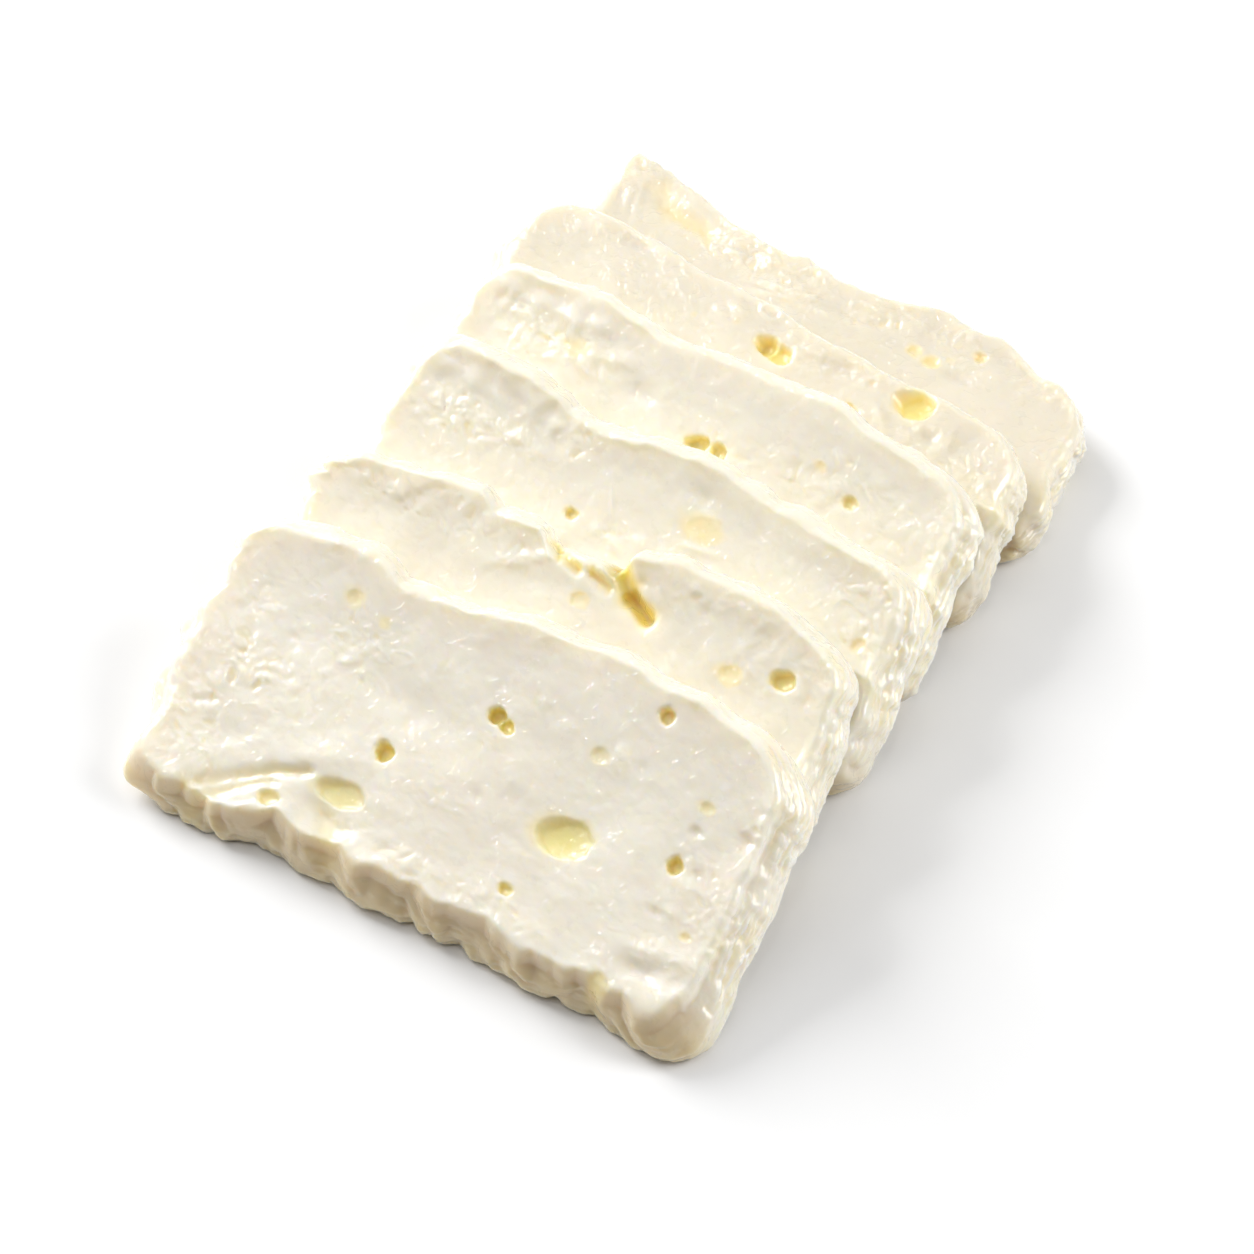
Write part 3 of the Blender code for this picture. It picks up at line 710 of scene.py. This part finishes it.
def left_end(x, u, upper, inset, out):
    """Points of the front slice with its left end's bulge and blunt front corner."""
    size, middle, reach, inward = LEFT_BULGE
    x = x - size * np.exp(-((u - middle) / reach) ** 2 - inset / inward) * smooth(-out[:, 0])
    side, side_fade, front, front_fade = CORNER
    blunt = smooth((side - x) / side_fade) * smooth((front - u) / front_fade)
    moved = CORNER_FOOT + (CORNER_TOP - CORNER_FOOT) * upper[:, None]
    return x + blunt * moved[:, 0], u + blunt * moved[:, 1]


def shape(index, cube):
    """Places of the points of a slice that starts as a cube from -1 to 1, and what tints them."""
    s = SLICES[index]
    half = np.array((s.length, s.depth)) / 2
    plan = round_plan(cube, half)
    inset, out = rim_distance(plan, half)
    level = cube[:, 2]
    upper = (1 + level) / 2
    own = np.stack([plan[:, 0], plan[:, 1], level * s.thick / 2], axis=1)
    seen = smooth((plan[:, 1] + half[1] - s.covered) / COVER_FADE) * upper
    wall = 1 - smooth(inset / RIM_ROUND)

    rounding = UNDER_ROUND + (RIM_ROUND - UNDER_ROUND) * seen
    rounding += RIM_ROUND_SPREAD * noise(own, RIM_ROUND_PITCH, ROUND_SEED + index) * seen
    drop = rounding - np.sqrt(np.maximum(rounding ** 2 - np.maximum(rounding - inset, 0) ** 2, 0))
    h = s.thick / 2 + level * (s.thick / 2 - drop)

    swell, layers = side_swell(index, own, level, inset, out, wall)
    x = plan[:, 0] + out[:, 0] * swell
    u = plan[:, 1] + half[1] + out[:, 1] * swell
    u = u + edges(s, x, u)

    place = np.stack([x, u, 0 * x], axis=1)
    relief, marked, curd, lumpy = face_relief(index, place, inset)
    h = h - relief * seen * upper

    u = u + h * s.front_slope * np.clip(1 - u / FRONT_SLOPE_REACH, 0, 1)
    x = x + s.flare * (1 - upper) * smooth(1 - (half[0] - x) / FLARE_REACH)
    if index == 0:
        x, u = left_end(x, u, upper, inset, out)
    under = out * wall[:, None]
    places = placed(index, x, u, h, under)
    if index:
        h = h + TUCK_RISE * tucked(index, places) ** 2 * seen
        places = placed(index, x, u, h, under)

    between_lumps = curd * seen * smooth(CURD_SHADE - CURD_SHADE_GAIN * lumpy)
    covered = (seen < HIDDEN_SEEN) & (wall < HIDDEN_WALL)
    tints = {
        # painted shade: eyes and creases are painted yellower and darker the deeper they are
        "eye": np.clip(marked / EYE_SHADE_DEPTH, 0, 1) * seen,
        # partly the curd's own creamier tone, partly painted warm shade standing in for light
        # bounced in the rough curd
        "curd": curd * seen,
        # painted shade: hollows between curd lumps and grooves between the side's layers are painted
        # yellower
        "damp": np.maximum(between_lumps, smooth(-layers / STRATA_SHADE)),
        # painted highlight: a paler band along the rim, standing in for light that shines through
        # the thin edges
        "rim": np.exp(-inset / RIM_HIGHLIGHT_REACH) * seen,
        # painted shade: the front sides are painted darker and yellower, with a painted warm
        # reflection from below
        "front": wall * smooth(-out[:, 1]),
        # painted light: a warm yellow glow just behind the far edge of the slice in front, standing
        # in for light bounced between the slices and shining through them
        "tuck": tucked(index, places) * upper,
        "hidden": (upper < HIDDEN_BELOW) | covered,
    }
    return places, tints


def placed(index, x, u, h, out):
    """Points of a slice where they lie on the surface, drawn in where they reach below it."""
    y, z = lay(index, u, h)
    drawn = -UNDERCUT * np.minimum(z - UNDERCUT_TOP, 0)
    x = x - out[:, 0] * drawn
    y = y - out[:, 1] * drawn
    return np.stack([x + SLICES[index].shift - DRIFT * y, y, np.maximum(z, 0)], axis=1)


def tucked(index, places):
    """How close points lie behind the far edge of the slice in front, from 0 to 1."""
    if index == 0:
        return np.zeros(len(places))
    front = SLICES[index - 1]
    rim_y = lay(index - 1, front.far[:, 1], np.zeros(len(front.far)))[0]
    rim_x = front.far[:, 0] + front.shift - DRIFT * rim_y
    return np.exp(-np.abs(places[:, 1] - np.interp(places[:, 0], rim_x, rim_y)) / TUCK_REACH)


def grid_cube(sizes, grid):
    """A cube from -1 to 1 whose faces are cut into a grid of about the given pitch."""
    bm = bmesh.new()
    bmesh.ops.create_cube(bm, size=2.0)
    for axis, size in enumerate(sizes):
        edges_along = [e for e in bm.edges if abs(e.verts[0].co[axis] - e.verts[1].co[axis]) > 1]
        cuts = round(size / grid) - 1
        bmesh.ops.subdivide_edges(bm, edges=edges_along, cuts=cuts, use_grid_fill=True)
    return bm


def frame_offset():
    """How far the slices, shaped from the front slice's foot, lie from the frame's origin."""
    low, high = np.full(3, np.inf), np.full(3, -np.inf)
    for index, s in enumerate(SLICES):
        bm = grid_cube((s.length, s.depth, s.thick), COARSER * GRID)
        places = shape(index, np.array([v.co for v in bm.verts]))[0]
        bm.free()
        box_low, box_high = (np.array(corner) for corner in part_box(s.name))
        apart = (places.min(axis=0) + places.max(axis=0) - box_low - box_high) / 2
        low, high = np.minimum(low, apart), np.maximum(high, apart)
    return (low + high) / 2 * (1, 1, 0)


def simplify_hidden(obj, hidden):
    """Thin the faces that lie under other slices or on the underside."""
    group = obj.vertex_groups.new(name="hidden")
    group.add([int(i) for i in np.flatnonzero(hidden)], 1.0, "REPLACE")
    thin = obj.modifiers.new("thin_hidden", "DECIMATE")
    thin.vertex_group = group.name
    thin.ratio = 1 - hidden.mean() * (1 - HIDDEN_KEEP)
    graph = bpy.context.evaluated_depsgraph_get()
    result = bpy.data.meshes.new_from_object(obj.evaluated_get(graph))
    obj.modifiers.remove(thin)
    obj.vertex_groups.clear()
    obj.data = result


def make_slice(index, material, offset):
    """One slice in full detail, which stands for its CAD node."""
    s = SLICES[index]
    bm = grid_cube((s.length, s.depth, s.thick), GRID)
    mesh = bpy.data.meshes.new("cheese_" + s.name)
    bm.to_mesh(mesh)
    bm.free()
    cube = np.empty(len(mesh.vertices) * 3, np.float32)
    mesh.vertices.foreach_get("co", cube)
    places, tints = shape(index, cube.reshape(-1, 3).astype(float))
    mesh.vertices.foreach_set("co", (places - offset).astype(np.float32).ravel())
    for name in TINTS:
        attribute = mesh.attributes.new(name, "FLOAT", "POINT")
        attribute.data.foreach_set("value", tints[name].astype(np.float32))
    mesh.update()
    piece = bpy.data.objects.new("cheese_" + s.name, mesh)
    bpy.context.scene.collection.objects.link(piece)
    simplify_hidden(piece, tints["hidden"])
    piece.data.materials.append(material)
    piece.data.shade_smooth()
    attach(piece, "root")
    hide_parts(s.name)
    return piece


def node(tree, kind, values=(), **settings):
    """A shader node with its settings and the values of its sockets."""
    made = tree.nodes.new(kind)
    for name, value in settings.items():
        setattr(made, name, value)
    for name, value in dict(values).items():
        made.inputs[name].default_value = value
    return made


def tint(tree, colour, factor, target):
    """The colour mixed towards a target by a factor."""
    mix = node(tree, "ShaderNodeMix", data_type="RGBA")
    tree.links.new(factor, mix.inputs[MIX_FACTOR])
    tree.links.new(colour, mix.inputs[MIX_FIRST])
    mix.inputs[MIX_SECOND].default_value = (*target, 1)
    return mix.outputs[MIX_RESULT]


def stretch(tree, value, low, high, new_low, new_high, way="LINEAR"):
    """A value moved from one range to another."""
    made = node(tree, "ShaderNodeMapRange",
                {"From Min": low, "From Max": high, "To Min": new_low, "To Max": new_high},
                interpolation_type=way)
    tree.links.new(value, made.inputs["Value"])
    return made.outputs["Result"]


def mottle(tree, places, pitch, detail=2.0):
    """Noise from 0 to 1 with lumps of the given pitch."""
    made = node(tree, "ShaderNodeTexNoise", {"Scale": 1 / pitch, "Detail": detail})
    tree.links.new(places, made.inputs["Vector"])
    return made.outputs["Fac"]


def banded(tree, places, pitch, low, high, new_low, new_high):
    """Mottling with one band of its noise stretched to new values."""
    return stretch(tree, mottle(tree, places, pitch), low, high, new_low, new_high)


def curl(tree, places, pitch):
    """Thin winding curls from 0 to 1, which glint where they are wet."""
    away = node(tree, "ShaderNodeMath", {1: 0.5}, operation="SUBTRACT")
    tree.links.new(mottle(tree, places, pitch, CURL_DETAIL), away.inputs[0])
    size = node(tree, "ShaderNodeMath", operation="ABSOLUTE")
    tree.links.new(away.outputs[0], size.inputs[0])
    return stretch(tree, size.outputs[0], 0.0, CURL_WIDTH, 1.0, 0.0, "SMOOTHSTEP")


def read(tree, name):
    """A tint that the mesh carries."""
    return node(tree, "ShaderNodeAttribute", attribute_name=name).outputs["Fac"]


def times(tree, a, b):
    """Two values multiplied."""
    made = node(tree, "ShaderNodeMath", operation="MULTIPLY")
    tree.links.new(a, made.inputs[0])
    tree.links.new(b, made.inputs[1])
    return made.outputs[0]


def bump(tree, height, distance, below=None):
    """Fine relief in the shading, laid over another."""
    made = node(tree, "ShaderNodeBump", {"Distance": distance, "Strength": 1.0})
    tree.links.new(height, made.inputs["Height"])
    if below:
        tree.links.new(below, made.inputs["Normal"])
    return made.outputs["Normal"]


def cheese_material(name, looks, face):
    """Creamy white, translucent and wet, with rough patches of curd; eyes, creases, hollows and the
    front side are painted yellower and darker for shade, the rims are painted paler and the tucks
    warmer for light.
    """
    material = bpy.data.materials.new(name)
    material.use_nodes = True
    tree = material.node_tree
    shader = tree.nodes["Principled BSDF"]
    places = node(tree, "ShaderNodeTexCoord").outputs["Object"]

    base = node(tree, "ShaderNodeRGB")
    base.outputs[0].default_value = (*face, 1)
    colour = base.outputs[0]
    colour = tint(tree, colour, banded(tree, places, *SHADE_MOTTLE), looks.shade_colour)
    # Painted highlight on the rims, painted shade on the front sides and in the eyes; the other
    # tints take the shared curd, shade and glow colour
    painted_light_and_shade_colours = {"rim": looks.rim_highlight_colour, "front": looks.front_shade_colour, "eye": looks.eye_shade_colour}
    for name, most in TINTS.items():
        target = painted_light_and_shade_colours.get(name, looks.curd_tone_shade_and_glow_colour)
        colour = tint(tree, colour, stretch(tree, read(tree, name), 0, 1, 0, most), target)
    tree.links.new(colour, shader.inputs["Base Color"])

    tree.links.new(banded(tree, places, *GLOSS_MOTTLE), shader.inputs["Roughness"])
    shader.inputs["Subsurface Weight"].default_value = 1.0
    shader.inputs["Subsurface Radius"].default_value = (1.0, 0.85, 0.55)
    shader.inputs["Subsurface Scale"].default_value = looks.glow_depth
    shader.inputs["Coat Weight"].default_value = 0.8
    shader.inputs["Coat Roughness"].default_value = 0.06
    shader.inputs["IOR"].default_value = 1.4

    pitch, height = SKIN_BUMP
    skin = bump(tree, mottle(tree, places, pitch), height)
    tree.links.new(skin, shader.inputs["Normal"])
    wet = skin
    for (pitch, height), where in ((CURD_CURLS, read(tree, "curd")),
                                   (STREWN_CURLS, banded(tree, places, *STREWN_MOTTLE))):
        wet = bump(tree, times(tree, curl(tree, places, pitch), where), height, wet)
    tree.links.new(wet, shader.inputs["Coat Normal"])
    return material


class CheeseLooks(bpy.types.PropertyGroup):
    """Colours and depths of the cheese."""

    # Painted light and shade: the slices are one cheese, but the front face is painted lightest and
    # the two back faces darkest, to even out how the light falls on them
    front_painted_light_colour: FloatVectorProperty(
        name="Front face", description="Colour of the front slice's face", subtype="COLOR",
        size=3, min=0, max=1, default=(0.905, 0.85, 0.74))
    leaning_painted_light_colour: FloatVectorProperty(
        name="Leaning faces", description="Colour of the leaning slices' faces",
        subtype="COLOR", size=3, min=0, max=1, default=(0.86, 0.815, 0.70))
    back_painted_shade_colour: FloatVectorProperty(
        name="Back faces", description="Colour of the two back slices' faces", subtype="COLOR",
        size=3, min=0, max=1, default=(0.74, 0.685, 0.565))
    shade_colour: FloatVectorProperty(
        name="Mottling", description="Colour of the faint darker mottling", subtype="COLOR",
        size=3, min=0, max=1, default=(0.83, 0.77, 0.66))
    # Painted highlight: the paler colour of the band along the rims
    rim_highlight_colour: FloatVectorProperty(
        name="Rim", description="Colour of the thin pale rim", subtype="COLOR",
        size=3, min=0, max=1, default=(0.94, 0.90, 0.79))
    # Painted shade, with a painted warm reflection, on the front slice's front side
    front_shade_colour: FloatVectorProperty(
        name="Front side", description="Colour of the front slice's deep front side",
        subtype="COLOR", size=3, min=0, max=1, default=(0.70, 0.54, 0.29))
    # Partly the curd's own creamier tone; also painted warm shade in hollows and grooves, and
    # painted warm light in the tucks between slices
    curd_tone_shade_and_glow_colour: FloatVectorProperty(
        name="Whey", description="Colour of damp curd and of the tucks between slices",
        subtype="COLOR", size=3, min=0, max=1, default=(0.90, 0.81, 0.56))
    # Painted shade: the yellow of the deepest eyes and creases, standing in for the shade inside
    # them
    eye_shade_colour: FloatVectorProperty(
        name="Eyes", description="Colour at the bottom of the deepest eyes", subtype="COLOR",
        size=3, min=0, max=1, default=(1.0, 0.80, 0.29))
    glow_depth: FloatProperty(
        name="Glow depth", description="How far light travels under the surface",
        unit="LENGTH", min=0, default=4.5 * MM)


class StageSettings(bpy.types.PropertyGroup):
    """The camera, the lights and the floor."""

    azimuth: FloatProperty(
        name="Camera azimuth", description="How far the camera stands round to the right",
        subtype="ANGLE", default=math.radians(33))
    elevation: FloatProperty(
        name="Camera elevation", description="How far the camera looks down",
        subtype="ANGLE", default=math.radians(50))
    distance: FloatProperty(
        name="Camera distance", description="From the camera to the middle of the view",
        unit="LENGTH", default=923.1 * MM)
    lens: FloatProperty(
        name="Lens", description="Focal length in millimetres on a 36 mm sensor", default=137.8)
    target: FloatVectorProperty(
        name="View middle", description="Where the camera looks on the floor",
        subtype="TRANSLATION", unit="LENGTH", size=3, default=(0.16 * MM, -8.16 * MM, 0))
    right_power: FloatProperty(
        name="Right light", description="Power of the light behind on the right",
        unit="POWER", default=11.3)
    left_power: FloatProperty(
        name="Left light", description="Power of the light behind on the left",
        unit="POWER", default=14.2)
    top_power: FloatProperty(
        name="Top light", description="Power of the light overhead", unit="POWER",
        default=7.9)
    glint_power: FloatProperty(
        name="Glints", description="Power of each of the two small lights that glint in wet curd",
        unit="POWER", default=0.6)
    sky: FloatProperty(
        name="Sky", description="Strength of the white surroundings", default=0.0)
    floor_colour: FloatVectorProperty(
        name="Floor", description="Colour of the floor", subtype="COLOR", size=3, min=0,
        max=1, default=(0.90, 0.90, 0.90))


class SliceOperator:
    """What the operators that make slices share."""

    bl_options = {"REGISTER", "UNDO"}

    def make(self, context, numbers, name, face):
        looks = context.scene.cheese_looks
        offset = frame_offset()
        material = cheese_material(name, looks, face)
        for index in numbers:
            make_slice(index, material, offset)
        return {"FINISHED"}


class CHEESE_OT_front_slice(SliceOperator, bpy.types.Operator):
    """Make the large slice that leans in front"""

    bl_idname = "cheese.front_slice"
    bl_label = "Front Slice"

    def execute(self, context):
        face = context.scene.cheese_looks.front_painted_light_colour
        return self.make(context, (0,), "front_cheese", face)


class CHEESE_OT_leaning_slices(SliceOperator, bpy.types.Operator):
    """Make the three slices that lean behind the front one"""

    bl_idname = "cheese.leaning_slices"
    bl_label = "Leaning Slices"

    def execute(self, context):
        face = context.scene.cheese_looks.leaning_painted_light_colour
        return self.make(context, (1, 2, 3), "leaning_cheese", face)


class CHEESE_OT_back_slices(SliceOperator, bpy.types.Operator):
    """Make the slice that lies flat at the back and the one that leans on it"""

    bl_idname = "cheese.back_slices"
    bl_label = "Back Slices"

    def execute(self, context):
        face = context.scene.cheese_looks.back_painted_shade_colour
        return self.make(context, (4, 5), "back_cheese", face)


def from_target(target, azimuth, elevation, distance):
    """A place seen from the target at an azimuth, an elevation and a distance."""
    flat = math.cos(elevation)
    way = Vector((math.sin(azimuth) * flat, -math.cos(azimuth) * flat, math.sin(elevation)))
    return Vector(target) + way * distance


def aim(obj, target):
    """Turn a camera or a light to look at the target."""
    obj.rotation_euler = (Vector(target) - obj.location).to_track_quat("-Z", "Y").to_euler()


def area_light(name, power, size, azimuth, elevation):
    """A soft square light that looks at the middle of the cheese, from angles in degrees."""
    data = bpy.data.lights.new(name, "AREA")
    data.energy = power
    data.size = size
    light = bpy.data.objects.new(name, data)
    light.location = from_target((0, 0, 0), math.radians(azimuth), math.radians(elevation),
                                 LIGHT_DISTANCE)
    aim(light, (0, 0, 0))
    bpy.context.scene.collection.objects.link(light)


def make_floor(colour):
    """A large plain floor."""
    bm = bmesh.new()
    bmesh.ops.create_grid(bm, x_segments=1, y_segments=1, size=FLOOR_REACH)
    mesh = bpy.data.meshes.new("floor")
    bm.to_mesh(mesh)
    bm.free()
    material = bpy.data.materials.new("floor_paint")
    material.use_nodes = True
    shader = material.node_tree.nodes["Principled BSDF"]
    shader.inputs["Base Color"].default_value = (*colour, 1)
    shader.inputs["Roughness"].default_value = FLOOR_ROUGHNESS
    mesh.materials.append(material)
    floor = bpy.data.objects.new("floor", mesh)
    bpy.context.scene.collection.objects.link(floor)


class CHEESE_OT_stage(bpy.types.Operator):
    """Make the floor, the lights, the surroundings and the camera"""

    bl_idname = "cheese.stage"
    bl_label = "Stage"
    bl_options = {"REGISTER", "UNDO"}

    def execute(self, context):
        scene = context.scene
        stage = scene.cheese_stage
        make_floor(stage.floor_colour)
        for name, power, size, azimuth, elevation in LIGHTS:
            area_light(name, getattr(stage, power), size, azimuth, elevation)
        world = bpy.data.worlds.new("studio")
        world.use_nodes = True
        sky = world.node_tree.nodes["Background"]
        sky.inputs["Color"].default_value = (1, 1, 1, 1)
        sky.inputs["Strength"].default_value = stage.sky
        scene.world = world
        data = bpy.data.cameras.new("camera")
        data.lens = stage.lens
        data.clip_start, data.clip_end = CLIP_START, CLIP_END
        camera = bpy.data.objects.new("camera", data)
        camera.location = from_target(stage.target, stage.azimuth, stage.elevation,
                                      stage.distance)
        aim(camera, stage.target)
        scene.collection.objects.link(camera)
        scene.camera = camera
        scene.view_settings.view_transform = "Standard"
        return {"FINISHED"}


class CHEESE_PT_panel(bpy.types.Panel):
    """Buttons for the slices and the stage"""

    bl_idname = "CHEESE_PT_panel"
    bl_label = "Cheese"
    bl_space_type = "VIEW_3D"
    bl_region_type = "UI"
    bl_category = "Cheese"

    def draw(self, context):
        for step in STEPS:
            self.layout.operator(step.bl_idname)
        for settings in (context.scene.cheese_looks, context.scene.cheese_stage):
            for name in settings.__annotations__:
                self.layout.prop(settings, name)


STEPS = (CHEESE_OT_stage, CHEESE_OT_front_slice, CHEESE_OT_leaning_slices, CHEESE_OT_back_slices)
CLASSES = (CheeseLooks, StageSettings, *STEPS, CHEESE_PT_panel)


def register():
    for made in CLASSES:
        bpy.utils.register_class(made)
    bpy.types.Scene.cheese_looks = PointerProperty(type=CheeseLooks)
    bpy.types.Scene.cheese_stage = PointerProperty(type=StageSettings)


def unregister():
    del bpy.types.Scene.cheese_looks
    del bpy.types.Scene.cheese_stage
    for made in reversed(CLASSES):
        bpy.utils.unregister_class(made)


def main():
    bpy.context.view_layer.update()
    register()
    for step in STEPS:
        group, name = step.bl_idname.split(".")
        getattr(getattr(bpy.ops, group), name)()


if __name__ == "__main__":
    main()
